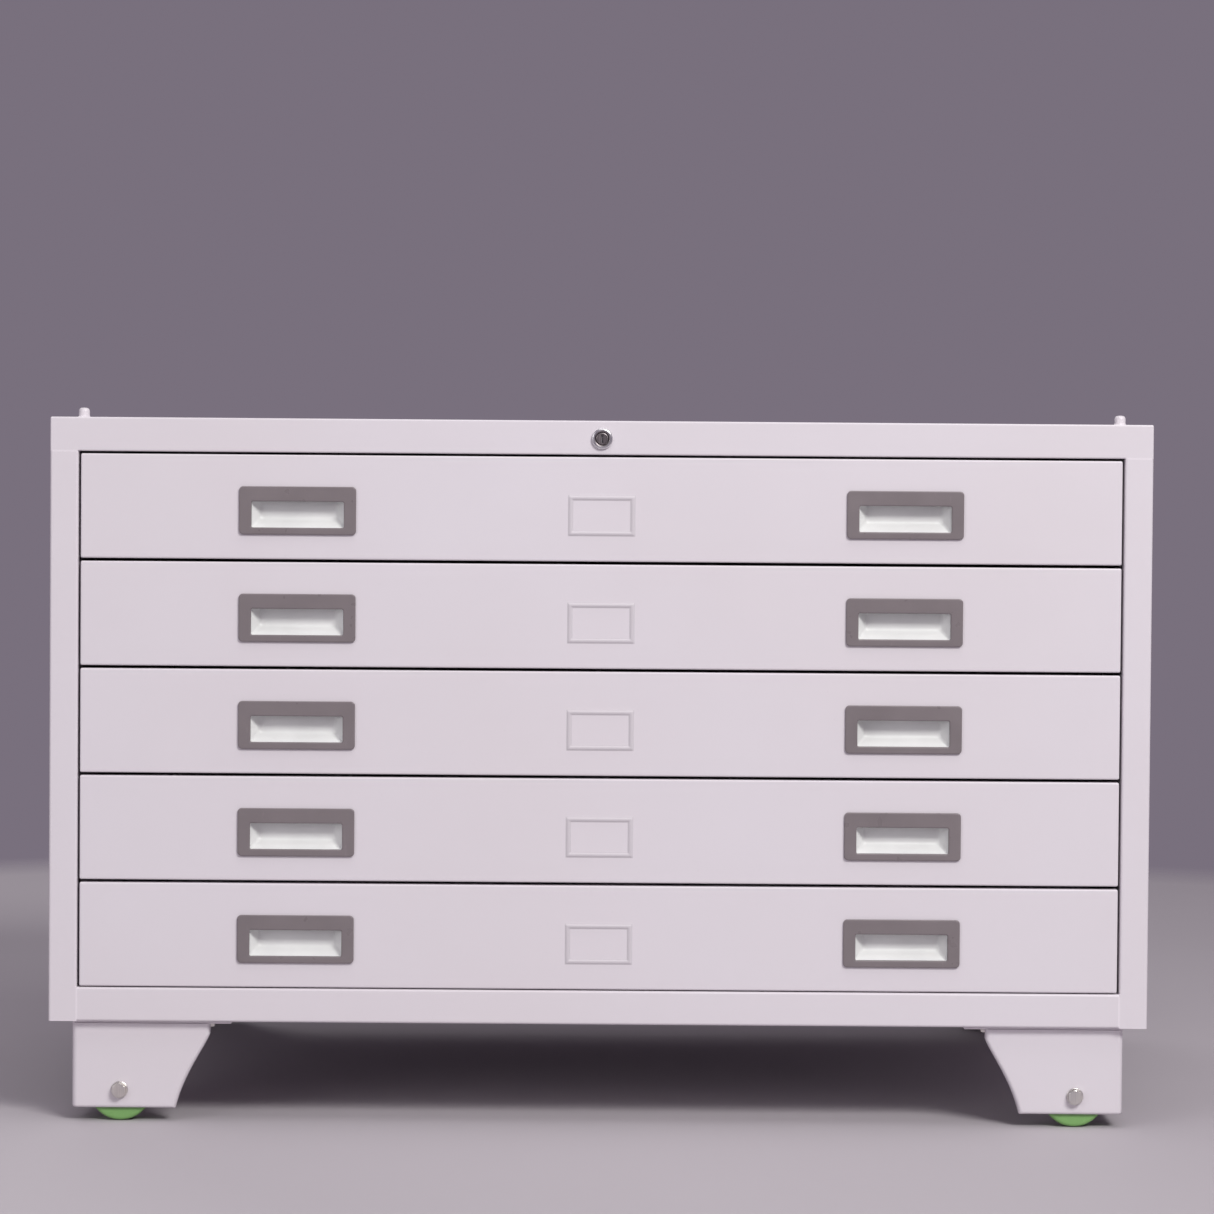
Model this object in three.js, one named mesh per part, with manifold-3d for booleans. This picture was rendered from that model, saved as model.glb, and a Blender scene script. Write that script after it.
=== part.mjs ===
// A five-drawer flat file cabinet in painted sheet steel, on four short legs with a fixed wheel in each.
// Millimetres, +Z up. The origin is on the floor under the middle of the cabinet, and the drawers open towards -Y.
// Every drawer runs on two telescopic slides, and a cam lock in the top rail holds the top drawer.

import * as THREE from "three";
import { mergeVertices } from "three/addons/utils/BufferGeometryUtils.js";
import Module from "manifold-3d";

const wasm = await Module();
wasm.setup();

// ---------------------------------------------------------------- driving dimensions

const WIDTH = 1100;
const DEPTH = 760;
const BODY_HEIGHT = 604;
const SHEET = 1.2; // cabinet and drawer sheet
const GAP = 0.3; // between pieces that touch

const TOP_RAIL = 33.9;
const BOTTOM_RAIL = 34.1;
const STILE_WIDTH = 28.3;
const FOLD_DEPTH = 20; // how far the stiles return into the cabinet
const RAIL_FOLD = 18; // the same for the rails

const DRAWER_COUNT = 5;
const FACE_GAP = 3; // between drawer fronts
const TOP_GAP = 2.4; // above the top one
const BOTTOM_GAP = 1.2; // under the bottom one
const SIDE_GAP = 2.4; // between a drawer front and a stile

const LEG_HEIGHT = 88.4;
const LEG_CLEARANCE = 13.6; // leg's lower edge above the floor
const WHEEL_RADIUS = 32;

const SLIDE_HEIGHT = 45;
const SLIDE_LENGTH = 700;

// ---------------------------------------------------------------- places worked out from them

const FRONT = -DEPTH / 2;
const BACK = DEPTH / 2;
const HALF = WIDTH / 2;
const BODY_BOTTOM = LEG_CLEARANCE + LEG_HEIGHT;
const BODY_TOP = BODY_BOTTOM + BODY_HEIGHT;
const OPENING_BOTTOM = BODY_BOTTOM + BOTTOM_RAIL;
const OPENING_TOP = BODY_TOP - TOP_RAIL;
const OPENING_HALF = HALF - STILE_WIDTH;
const FACE_HALF = OPENING_HALF - SIDE_GAP;
const FACES_TOP = OPENING_TOP - TOP_GAP;
const FACES_BOTTOM = OPENING_BOTTOM + BOTTOM_GAP;
const PITCH = (FACES_TOP - FACES_BOTTOM + FACE_GAP) / DRAWER_COUNT;
const FACE_HEIGHT = PITCH - FACE_GAP;

// ---------------------------------------------------------------- materials

function paint(color, roughness, metalness = 0) {
  return new THREE.MeshStandardMaterial({ color, roughness, metalness });
}

const WHITE_PAINT = paint(0xdad3d9, 0.45);
const ZINC = paint(0xb9bcc0, 0.35, 0.9);
const CHROME = paint(0xd0d2d6, 0.15, 1);
const GREY_PLASTIC = paint(0x8c8286, 0.4);
const GREEN_TYRE = paint(0x6f9a58, 0.5);

// ---------------------------------------------------------------- shape helpers

const GRID = 1024; // steps in a millimetre that corners are rounded to

// A three.js geometry as a manifold-3d solid, on a fine grid so that faces meant to be flush are exactly flush.
function solidOf(geometry) {
  const bare = geometry.clone();
  bare.deleteAttribute("normal");
  bare.deleteAttribute("uv");
  const corners = bare.attributes.position.array;
  corners.forEach((value, i) => {
    corners[i] = Math.round(value * GRID) / GRID;
  });
  const merged = mergeVertices(bare, 1e-4);
  return new wasm.Manifold(
    new wasm.Mesh({
      numProp: 3,
      vertProperties: merged.attributes.position.array,
      triVerts: new Uint32Array(merged.index.array),
    }),
  );
}

// A manifold-3d solid back as a three.js geometry, with each flat face cut into as few triangles as it needs.
function geometryOf(solid) {
  const { vertProperties, triVerts } = solid.asOriginal().simplify(0.004).getMesh();
  const geometry = new THREE.BufferGeometry();
  geometry.setAttribute("position", new THREE.BufferAttribute(vertProperties, 3));
  geometry.setIndex(new THREE.BufferAttribute(triVerts, 1));
  geometry.computeVertexNormals();
  return geometry;
}

function join(...solids) {
  return solids.reduce((whole, piece) => whole.add(piece));
}

// A box between two values on each axis, in either order.
function box([xa, xb], [ya, yb], [za, zb]) {
  const geometry = new THREE.BoxGeometry(Math.abs(xb - xa), Math.abs(yb - ya), Math.abs(zb - za));
  return solidOf(geometry.translate((xa + xb) / 2, (ya + yb) / 2, (za + zb) / 2));
}

function shapeOf(points) {
  return new THREE.Shape(points.map(([u, v]) => new THREE.Vector2(u, v)));
}

function extrude(shape, length) {
  return new THREE.ExtrudeGeometry(shape, { depth: length, bevelEnabled: false, curveSegments: 8 });
}

// An XY outline extruded from zLow to zHigh.
function prismZ(shape, zLow, zHigh) {
  return solidOf(extrude(shape, zHigh - zLow).translate(0, 0, zLow));
}

// An XZ outline extruded between two values of Y, in either order.
function prismY(shape, ya, yb) {
  const geometry = extrude(shape, Math.abs(yb - ya)).rotateX(Math.PI / 2);
  return solidOf(geometry.translate(0, Math.max(ya, yb), 0));
}

// A YZ outline extruded between two values of X, in either order.
function prismX(shape, xa, xb) {
  const geometry = extrude(shape, Math.abs(xb - xa)).rotateX(Math.PI / 2).rotateZ(Math.PI / 2);
  return solidOf(geometry.translate(Math.min(xa, xb), 0, 0));
}

// A rod along Y between two values of Y, centred on (x, z).
function rodY(radius, ya, yb, x, z, segments = 24) {
  const geometry = new THREE.CylinderGeometry(radius, radius, Math.abs(yb - ya), segments);
  return solidOf(geometry.translate(x, (ya + yb) / 2, z));
}

// Eight corners to a solid: a rectangle at yNear and another at yFar, each [xLow, xHigh, zLow, zHigh].
function taper(yNear, near, yFar, far) {
  const geometry = new THREE.BoxGeometry(2, 2, 2);
  const position = geometry.attributes.position;
  for (let i = 0; i < position.count; i++) {
    const [xLow, xHigh, zLow, zHigh] = position.getY(i) < 0 ? near : far;
    position.setXYZ(
      i,
      position.getX(i) < 0 ? xLow : xHigh,
      position.getY(i) < 0 ? yNear : yFar,
      position.getZ(i) < 0 ? zLow : zHigh,
    );
  }
  return solidOf(geometry);
}

const cabinet = new THREE.Group();

function place(name, solid, material, z = 0, parent = cabinet) {
  const mesh = new THREE.Mesh(geometryOf(solid), material);
  mesh.name = name;
  mesh.position.z = z;
  parent.add(mesh);
}

// ---------------------------------------------------------------- cabinet body

const POST_WIDTH = 40;
const POST_PLACES = [FRONT + 55, 0, BACK - 55]; // middles of the slide posts, along Y
const REAR_FLANGE = 25;

// One side: the outer skin with its front stile and rear flange, folded from one sheet, a tab that
// closes the stile's lower end, and the three posts welded inside it that carry the slides.
function sidePanel(side) {
  const rear = BACK - SHEET - GAP;
  const skin = shapeOf([
    [side * OPENING_HALF, FRONT + FOLD_DEPTH],
    [side * OPENING_HALF, FRONT],
    [side * HALF, FRONT],
    [side * HALF, rear],
    [side * (HALF - REAR_FLANGE), rear],
    [side * (HALF - REAR_FLANGE), rear - SHEET],
    [side * (HALF - SHEET), rear - SHEET],
    [side * (HALF - SHEET), FRONT + SHEET],
    [side * (OPENING_HALF + SHEET), FRONT + SHEET],
    [side * (OPENING_HALF + SHEET), FRONT + FOLD_DEPTH],
  ]);
  const top = OPENING_TOP - GAP;
  const posts = POST_PLACES.map((y) => {
    const weldedTo = side * (HALF - SHEET / 2);
    const crown = side * OPENING_HALF;
    const inside = side * (OPENING_HALF + SHEET);
    const post = shapeOf([
      [weldedTo, y - POST_WIDTH / 2],
      [crown, y - POST_WIDTH / 2],
      [crown, y + POST_WIDTH / 2],
      [weldedTo, y + POST_WIDTH / 2],
      [weldedTo, y + POST_WIDTH / 2 - SHEET],
      [inside, y + POST_WIDTH / 2 - SHEET],
      [inside, y - POST_WIDTH / 2 + SHEET],
      [weldedTo, y - POST_WIDTH / 2 + SHEET],
    ]);
    return prismZ(post, BODY_BOTTOM + SHEET + GAP, top);
  });
  const stileX = side < 0 ? [-HALF, -OPENING_HALF] : [OPENING_HALF, HALF];
  const foot = box(stileX, [FRONT, FRONT + FOLD_DEPTH], [BODY_BOTTOM, BODY_BOTTOM + SHEET]);
  return join(prismZ(skin, BODY_BOTTOM, top), foot, ...posts);
}

const LOCK_Z = BODY_TOP - 18;
const LOCK_HOLE_RADIUS = 8.6;
const STUD_RADIUS = 5.5;
const STUD_HEIGHT = 9.7;
const STUD_X = HALF - 30;
const STUD_Y = FRONT + 30;

// A welded stacking stud: a short round stud with a rounded top.
function stackingStud(side) {
  const profile = [
    [0, -0.6],
    [STUD_RADIUS, -0.6],
    [STUD_RADIUS, STUD_HEIGHT - 3.5],
    [STUD_RADIUS * 0.86, STUD_HEIGHT - 1.4],
    [STUD_RADIUS * 0.5, STUD_HEIGHT - 0.3],
    [0, STUD_HEIGHT],
  ].map(([r, h]) => new THREE.Vector2(r, h));
  const stud = new THREE.LatheGeometry(profile, 16).rotateX(Math.PI / 2);
  return solidOf(stud.translate(side * STUD_X, STUD_Y, BODY_TOP));
}

// The top: a shallow cap whose front flange is the top rail, with the lock's hole and two stacking studs.
function topPanel() {
  const walls = [OPENING_TOP, BODY_TOP];
  const hole = rodY(LOCK_HOLE_RADIUS, FRONT - 1, FRONT + 5, 0, LOCK_Z);
  const cap = join(
    box([-HALF, HALF], [FRONT, BACK], [BODY_TOP - SHEET, BODY_TOP]),
    box([-HALF, HALF], [FRONT, FRONT + SHEET], walls),
    box([-HALF, HALF], [BACK - SHEET, BACK], walls),
    box([-HALF, SHEET - HALF], [FRONT, BACK], walls),
    box([HALF - SHEET, HALF], [FRONT, BACK], walls),
    box([-HALF, HALF], [FRONT, FRONT + RAIL_FOLD], [OPENING_TOP, OPENING_TOP + SHEET]),
    stackingStud(-1),
    stackingStud(1),
  );
  return cap.subtract(hole);
}

// The floor of the body, with the bottom rail folded up at its front and a flange at its rear.
function bottomPanel() {
  const railEnd = OPENING_HALF - GAP;
  const floorEnd = HALF - SHEET - GAP;
  const rear = BACK - 2 * SHEET - 2 * GAP;
  const fold = FRONT + RAIL_FOLD;
  const thin = [BODY_BOTTOM, BODY_BOTTOM + SHEET];
  return join(
    box([-railEnd, railEnd], [FRONT, FRONT + FOLD_DEPTH + 1], thin),
    box([-floorEnd, floorEnd], [FRONT + FOLD_DEPTH + GAP, rear], thin),
    box([-railEnd, railEnd], [FRONT, FRONT + SHEET], [BODY_BOTTOM, OPENING_BOTTOM]),
    box([-railEnd, railEnd], [FRONT, fold], [OPENING_BOTTOM - SHEET, OPENING_BOTTOM]),
    box([-railEnd, railEnd], [fold - SHEET, fold], [OPENING_BOTTOM - 12, OPENING_BOTTOM]),
    box([-floorEnd, floorEnd], [rear - SHEET, rear], [BODY_BOTTOM, BODY_BOTTOM + 25]),
  );
}

function backPanel() {
  return box([-HALF, HALF], [BACK - SHEET, BACK], [BODY_BOTTOM, OPENING_TOP - GAP]);
}

place("side_panel_left", sidePanel(-1), WHITE_PAINT);
place("side_panel_right", sidePanel(1), WHITE_PAINT);
place("top_panel", topPanel(), WHITE_PAINT);
place("bottom_panel", bottomPanel(), WHITE_PAINT);
place("back_panel", backPanel(), WHITE_PAINT);

// ---------------------------------------------------------------- legs, wheels and axle bolts

const LEG_SHEET = 1.6;
const LEG_SIDE = HALF - 22.5; // outer face of the side plates, from the middle
const LEG_END = DEPTH / 2 - 10; // outer face of the front and rear plates
const LEG_TOP_WIDTH = 138;
const LEG_FOOT_WIDTH = 103.5;
const LEG_RETURN = 12; // flange folded in along the curved edge
const PLATE_LENGTH = 160; // mounting plate welded on the leg
const PLATE_THICKNESS = 3;
const BRACKET_SPACE = 32.4; // between the end plate and the axle bracket
const BRACKET_THICKNESS = 2;

const AXLE_X = LEG_SIDE - 48;
const AXLE_Y = LEG_END - LEG_SHEET - BRACKET_SPACE / 2;
const AXLE_RADIUS = 4;
const AXLE_HOLE_RADIUS = 4.45;
const WHEEL_WIDTH = 26;
const WHEEL_SEGMENTS = 24;

// The outline that both plates of a leg share. u runs inwards from the leg's corner, and at(u) gives the coordinate.
function legOutline(at) {
  const low = LEG_CLEARANCE;
  const top = BODY_BOTTOM - GAP - PLATE_THICKNESS / 2;
  const shape = new THREE.Shape();
  shape.moveTo(at(0), low);
  shape.lineTo(at(0), top);
  shape.lineTo(at(LEG_TOP_WIDTH), top);
  shape.lineTo(at(LEG_TOP_WIDTH), low + 75);
  shape.bezierCurveTo(
    at(LEG_TOP_WIDTH - 4), low + 62,
    at(LEG_FOOT_WIDTH + 9), low + 36,
    at(LEG_FOOT_WIDTH), low,
  );
  return shape;
}

// A corner leg: end plate and side plate folded from one sheet, each with a flange along its curved edge,
// a mounting plate on top and a bracket that carries the inner end of the axle.
function leg(sideX, sideY) {
  const x = (u) => sideX * (LEG_SIDE - u);
  const y = (u) => sideY * (LEG_END - u);
  const plateTop = BODY_BOTTOM - GAP;
  const plateLow = plateTop - PLATE_THICKNESS;
  const bracketAt = LEG_SHEET + BRACKET_SPACE;
  const endPlate = prismY(legOutline(x), y(0), y(LEG_SHEET));
  const endFlange = prismY(legOutline(x), y(0), y(LEG_RETURN)).subtract(
    prismY(legOutline((u) => x(u - LEG_SHEET)), y(-1), y(LEG_RETURN + 1)),
  );
  const sidePlate = prismX(legOutline(y), x(0), x(LEG_SHEET));
  const sideFlange = prismX(legOutline(y), x(0), x(LEG_RETURN)).subtract(
    prismX(legOutline((u) => y(u - LEG_SHEET)), x(-1), x(LEG_RETURN + 1)),
  );
  const mountingPlate = box([x(0), x(PLATE_LENGTH)], [y(0), y(PLATE_LENGTH - 14)], [plateLow, plateTop]);
  const bracket = box(
    [x(16), x(76)],
    [y(bracketAt), y(bracketAt + BRACKET_THICKNESS)],
    [LEG_CLEARANCE + 3, plateLow + 1],
  );
  const axleHole = rodY(AXLE_HOLE_RADIUS, y(-5), y(60), sideX * AXLE_X, WHEEL_RADIUS, 16);
  return join(endPlate, endFlange, sidePlate, sideFlange, mountingPlate, bracket).subtract(axleHole);
}

// A wheel with rounded tread shoulders. A flat of its facets faces the floor, so it stands at its true height.
function wheel(x, y) {
  const half = WHEEL_WIDTH / 2;
  const round = 1 / Math.cos(Math.PI / WHEEL_SEGMENTS);
  const profile = [
    [AXLE_HOLE_RADIUS, -half],
    [WHEEL_RADIUS - 4, -half],
    [WHEEL_RADIUS - 1, 1.5 - half],
    [WHEEL_RADIUS, 4.5 - half],
    [WHEEL_RADIUS, half - 4.5],
    [WHEEL_RADIUS - 1, half - 1.5],
    [WHEEL_RADIUS - 4, half],
    [AXLE_HOLE_RADIUS, half],
    [AXLE_HOLE_RADIUS, -half],
  ].map(([r, h]) => new THREE.Vector2(r * round, h));
  const geometry = new THREE.LatheGeometry(profile, WHEEL_SEGMENTS).rotateY(Math.PI / WHEEL_SEGMENTS);
  return solidOf(geometry.translate(x, y, WHEEL_RADIUS));
}

// The bolt a wheel turns on, with its washer and head outside the leg and its nut behind the bracket.
function axleBolt(x, sideY) {
  const y = (u) => sideY * (LEG_END - u);
  const bracketBack = LEG_SHEET + BRACKET_SPACE + BRACKET_THICKNESS;
  const acrossCorners = 13 / Math.cos(Math.PI / 6);
  return join(
    rodY(8.5, y(-GAP), y(-GAP - 1.6), x, WHEEL_RADIUS, 16),
    rodY(acrossCorners / 2, y(-GAP - 1.5), y(-GAP - 6.9), x, WHEEL_RADIUS, 6),
    rodY(AXLE_RADIUS, y(-GAP - 1), y(bracketBack + 10), x, WHEEL_RADIUS, 16),
    rodY(acrossCorners / 2, y(bracketBack + GAP), y(bracketBack + 7), x, WHEEL_RADIUS, 6),
  );
}

for (const [endName, sideY] of [["front", -1], ["rear", 1]]) {
  for (const [sideName, sideX] of [["left", -1], ["right", 1]]) {
    const corner = `${endName}_${sideName}`;
    place(`leg_${corner}`, leg(sideX, sideY), WHITE_PAINT);
    place(`wheel_${corner}`, wheel(sideX * AXLE_X, sideY * AXLE_Y), GREEN_TYRE);
    place(`axle_bolt_${corner}`, axleBolt(sideX * AXLE_X, sideY), ZINC);
  }
}

// ---------------------------------------------------------------- cam lock in the top rail

const PLUG_RADIUS = 6;
const BARREL_END = FRONT + 19.4;
const CAM_FRONT = BARREL_END + 0.4;
const CAM_THICKNESS = 2;
const CAM_REACH = 29; // from the lock's axis to the cam's tip
const CAM_WIDTH = 13;
const TAIL_RADIUS = 3.4;

function lockHousing() {
  const face = rodY(10.5, FRONT - GAP - 3.2, FRONT - GAP, 0, LOCK_Z);
  const barrel = rodY(8, FRONT - GAP - 1, BARREL_END, 0, LOCK_Z);
  const bore = rodY(PLUG_RADIUS + 0.4, FRONT - 10, BARREL_END + 1, 0, LOCK_Z);
  return join(face, barrel).subtract(bore);
}

// The turning plug: key slot in its face, and a tail behind with the nut that keeps the cam on.
function lockPlug() {
  const face = FRONT - GAP - 3.6;
  const nutFront = CAM_FRONT + CAM_THICKNESS + GAP;
  const keySlot = box([-0.8, 0.8], [face - 1, face + 4], [LOCK_Z - 4.2, LOCK_Z + 4.2]);
  return join(
    rodY(PLUG_RADIUS, face, BARREL_END, 0, LOCK_Z),
    rodY(TAIL_RADIUS, BARREL_END - 1, nutFront + 4, 0, LOCK_Z, 16),
    rodY(5.6, nutFront, nutFront + 3, 0, LOCK_Z, 6),
  ).subtract(keySlot);
}

// The cam, lying along +X where it clears the top drawer. A quarter turn puts it in front of the drawer's catch.
function lockCam() {
  const half = CAM_WIDTH / 2;
  const outline = new THREE.Shape();
  outline.moveTo(0, LOCK_Z + half);
  outline.absarc(0, LOCK_Z, half, Math.PI / 2, (3 * Math.PI) / 2, false);
  outline.lineTo(CAM_REACH - 3, LOCK_Z - half + 2);
  outline.lineTo(CAM_REACH, LOCK_Z - half + 4);
  outline.lineTo(CAM_REACH, LOCK_Z + half - 4);
  outline.lineTo(CAM_REACH - 3, LOCK_Z + half - 2);
  const hole = rodY(TAIL_RADIUS + 0.4, CAM_FRONT - 1, CAM_FRONT + CAM_THICKNESS + 1, 0, LOCK_Z, 16);
  return prismY(outline, CAM_FRONT, CAM_FRONT + CAM_THICKNESS).subtract(hole);
}

place("lock_housing", lockHousing(), CHROME);
place("lock_plug", lockPlug(), CHROME);
place("lock_cam", lockCam(), ZINC);

// ---------------------------------------------------------------- telescopic slides
// Each slide is three nested channels. The outer one is screwed to the side's posts, the middle one travels half
// as far as the drawer, and the inner one is welded to the tray. Distances inwards are from the posts' face.

const SLIDE_SHEET = 1.2;
const SLIDE_Z = 40; // middle of the slide, above the drawer front's lower edge
const OUTER_START = FRONT + 25;
const MIDDLE_START = FRONT + 28;
const MIDDLE_LENGTH = SLIDE_LENGTH - 10;

// A lipped channel that opens towards the drawer, in XZ, centred on z = 0.
function channel(side, outerFace, depth, halfHeight, lip) {
  const x = (inwards) => side * (OPENING_HALF - outerFace - inwards);
  const t = SLIDE_SHEET;
  const upper = [
    [x(depth), halfHeight - lip],
    [x(depth), halfHeight],
    [x(0), halfHeight],
  ];
  const upperInside = [
    [x(t), halfHeight - t],
    [x(depth - t), halfHeight - t],
    [x(depth - t), halfHeight - lip],
  ];
  const mirrored = (points) => points.map(([u, v]) => [u, -v]).reverse();
  return shapeOf([...upper, ...mirrored(upper), ...mirrored(upperInside), ...upperInside]);
}

function slideOuter(side) {
  return prismY(channel(side, GAP, 12.4, SLIDE_HEIGHT / 2, 5), OUTER_START, OUTER_START + SLIDE_LENGTH);
}

function slideMiddle(side) {
  return prismY(channel(side, 3.6, 8, 15.5, 3.6), MIDDLE_START, MIDDLE_START + MIDDLE_LENGTH);
}

// ---------------------------------------------------------------- drawers
// Drawn with z = 0 at the lower edge of the drawer's front.

const FRONT_DEPTH = 18;
const TRAY_HALF = OPENING_HALF - 14;
const TRAY_FRONT = FRONT + FRONT_DEPTH + GAP;
const TRAY_BACK = BACK - 30;
const TRAY_LOW = 6;
const TRAY_TOP = 80;
const TRAY_FLOOR = TRAY_LOW + 2; // underside of the floor, set above the walls' lower edges
const TRAY_FRONT_WALL = 3; // folded double, for the screws of the drawer front
const RIM = 8;

const STRIKE_BACK = FRONT + 27; // the catch stands just behind the lock's cam
const STRIKE_TOP = TRAY_TOP + 18;

// The catch welded to the top drawer's tray. Turned down, the cam stands in front of it and holds the drawer shut.
function lockStrike() {
  return join(
    box([-12, 26], [TRAY_FRONT, STRIKE_BACK], [TRAY_TOP - SHEET, TRAY_TOP]),
    box([-12, 26], [STRIKE_BACK - SHEET, STRIKE_BACK], [TRAY_TOP - SHEET, STRIKE_TOP]),
  );
}

// The steel tray with its out-turned rims, and the inner slide channels welded to its sides.
function tray(locks) {
  const walls = [TRAY_LOW, TRAY_TOP];
  const rim = [TRAY_TOP - SHEET, TRAY_TOP];
  const along = [TRAY_FRONT, TRAY_BACK];
  const across = [-TRAY_HALF, TRAY_HALF];
  const sides = [-1, 1].flatMap((side) => [
    box([side * TRAY_HALF, side * (TRAY_HALF - SHEET)], along, walls),
    box([side * (TRAY_HALF + RIM), side * (TRAY_HALF - SHEET)], along, rim),
    innerChannel(side),
  ]);
  return join(
    box(across, along, [TRAY_FLOOR, TRAY_FLOOR + SHEET]),
    box(across, [TRAY_FRONT, TRAY_FRONT + TRAY_FRONT_WALL], walls),
    box(across, [TRAY_BACK, TRAY_BACK - SHEET], walls),
    box(across, [TRAY_BACK - SHEET, TRAY_BACK + RIM], rim),
    ...sides,
    ...(locks ? [lockStrike()] : []),
  );
}

// The slide's inner channel, open towards the posts so that the middle channel wraps round it.
function innerChannel(side) {
  const x = (outwards) => side * (TRAY_HALF + outwards);
  const halfHeight = 10.5;
  const depth = 6;
  const t = SLIDE_SHEET;
  const outline = shapeOf([
    [x(depth), SLIDE_Z + halfHeight],
    [x(-0.6), SLIDE_Z + halfHeight],
    [x(-0.6), SLIDE_Z - halfHeight],
    [x(depth), SLIDE_Z - halfHeight],
    [x(depth), SLIDE_Z - halfHeight + t],
    [x(t), SLIDE_Z - halfHeight + t],
    [x(t), SLIDE_Z + halfHeight - t],
    [x(depth), SLIDE_Z + halfHeight - t],
  ]);
  return prismY(outline, OUTER_START, OUTER_START + SLIDE_LENGTH - 6);
}

const PULL_WIDTH = 116.5;
const PULL_HEIGHT = 48;
const PULL_X = 303; // middle of each pull, from the cabinet's middle
const PULL_Z = FACE_HEIGHT / 2 - 3.5;
const PULL_THICKNESS = 2.5;
const PULL_BACK = FRONT - GAP;
const WINDOW = [-46, 46, -17, 9]; // the pull's opening: x from, x to, z from, z to, from its middle
const POCKET_MOUTH = [-46, 46, -17, 18]; // the pocket just behind the bezel
const POCKET_END = [-38, 38, -8, 15]; // the pocket at its deepest
const POCKET_DEPTH = 12;
const CUP_WALL = 1.8;

// The same rectangle with every side moved outwards.
function grown([xLow, xHigh, zLow, zHigh], by) {
  return [xLow - by, xHigh + by, zLow - by, zHigh + by];
}

// The same rectangle about another middle.
function shifted([xLow, xHigh, zLow, zHigh], x, z) {
  return [xLow + x, xHigh + x, zLow + z, zHigh + z];
}

function boxXZ([xLow, xHigh, zLow, zHigh], along) {
  return box([xLow, xHigh], along, [zLow, zHigh]);
}

// A rectangle with rounded corners about (x, z).
function roundedRectangle(width, height, radius, x, z) {
  const left = x - width / 2;
  const right = x + width / 2;
  const low = z - height / 2;
  const high = z + height / 2;
  const shape = new THREE.Shape();
  shape.absarc(right - radius, low + radius, radius, -Math.PI / 2, 0, false);
  shape.absarc(right - radius, high - radius, radius, 0, Math.PI / 2, false);
  shape.absarc(left + radius, high - radius, radius, Math.PI / 2, Math.PI, false);
  shape.absarc(left + radius, low + radius, radius, Math.PI, 1.5 * Math.PI, false);
  return shape;
}

// A flush pull: a grey bezel with a pocket behind it. The bezel's deep upper band is the lip that fingers hook behind.
function pull(x) {
  const here = (rectangle) => shifted(rectangle, x, PULL_Z);
  const lipBack = PULL_BACK + 1.8;
  const bezel = prismY(roundedRectangle(PULL_WIDTH, PULL_HEIGHT, 4, x, PULL_Z), PULL_BACK - PULL_THICKNESS, PULL_BACK);
  const cup = taper(
    PULL_BACK - 0.5,
    here(grown(POCKET_MOUTH, CUP_WALL)),
    lipBack + POCKET_DEPTH + CUP_WALL,
    here(grown(POCKET_END, CUP_WALL)),
  );
  const pocket = taper(lipBack, here(POCKET_MOUTH), lipBack + POCKET_DEPTH, here(POCKET_END));
  const window = boxXZ(here(WINDOW), [PULL_BACK - PULL_THICKNESS - 1, lipBack + 1]);
  return join(bezel, cup).subtract(join(pocket, window));
}

const LABEL_WIDTH = 67.5;
const LABEL_HEIGHT = 41;
const LABEL_RIM = 5.5;
const LABEL_Z = FACE_HEIGHT / 2 - 6.5;
const LABEL_RISE = 1.2;
const LIP = 8; // folded in at the back of the front's top and bottom

// A drawer's front: a sheet pan, cut out for the two pulls, with the card holder pressed into its middle.
function drawerFront() {
  const back = FRONT + FRONT_DEPTH;
  const across = [-FACE_HALF, FACE_HALF];
  const tall = [0, FACE_HEIGHT];
  const labelOuter = [-LABEL_WIDTH / 2, LABEL_WIDTH / 2, LABEL_Z - LABEL_HEIGHT / 2, LABEL_Z + LABEL_HEIGHT / 2];
  const holder = boxXZ(labelOuter, [FRONT - LABEL_RISE, FRONT + 0.5]).subtract(
    boxXZ(grown(labelOuter, -LABEL_RIM), [FRONT - LABEL_RISE - 1, FRONT]),
  );
  const pan = join(
    box(across, [FRONT, FRONT + SHEET], tall),
    box(across, [FRONT, back], [0, SHEET]),
    box(across, [FRONT, back], [FACE_HEIGHT - SHEET, FACE_HEIGHT]),
    box([-FACE_HALF, SHEET - FACE_HALF], [FRONT, back], tall),
    box([FACE_HALF - SHEET, FACE_HALF], [FRONT, back], tall),
    box(across, [back - SHEET, back], [FACE_HEIGHT - LIP, FACE_HEIGHT]),
    box(across, [back - SHEET, back], [0, LIP]),
    holder,
  );
  const cutOuts = [-1, 1].map((side) =>
    boxXZ(shifted(grown(POCKET_MOUTH, CUP_WALL + 0.6), side * PULL_X, PULL_Z), [FRONT - 1, FRONT + SHEET + 1]),
  );
  return pan.subtract(join(...cutOuts));
}

for (let n = 1; n <= DRAWER_COUNT; n++) {
  const drawer = new THREE.Group();
  drawer.position.z = FACES_TOP + FACE_GAP - n * PITCH;
  cabinet.add(drawer);
  place(`drawer_${n}_tray`, tray(n === 1), WHITE_PAINT, 0, drawer);
  place(`drawer_${n}_front`, drawerFront(), WHITE_PAINT, 0, drawer);
  for (const [sideName, side] of [["left", -1], ["right", 1]]) {
    place(`drawer_${n}_pull_${sideName}`, pull(side * PULL_X), GREY_PLASTIC, 0, drawer);
    place(`slide_outer_${n}_${sideName}`, slideOuter(side), ZINC, SLIDE_Z, drawer);
    place(`slide_middle_${n}_${sideName}`, slideMiddle(side), ZINC, SLIDE_Z, drawer);
  }
}

export default cabinet;
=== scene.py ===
"""Looks for a flat file cabinet: painted sheet steel, flush grey pulls, zinc slides and green wheels.

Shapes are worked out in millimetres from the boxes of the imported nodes, and turned into metres as meshes are
made.
Every piece is built in place, in the frame of the CAD model, and rides on one of its bodies.
"""

import math

import bmesh
import bpy
import numpy as np
from mathutils import Matrix, Vector


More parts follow.
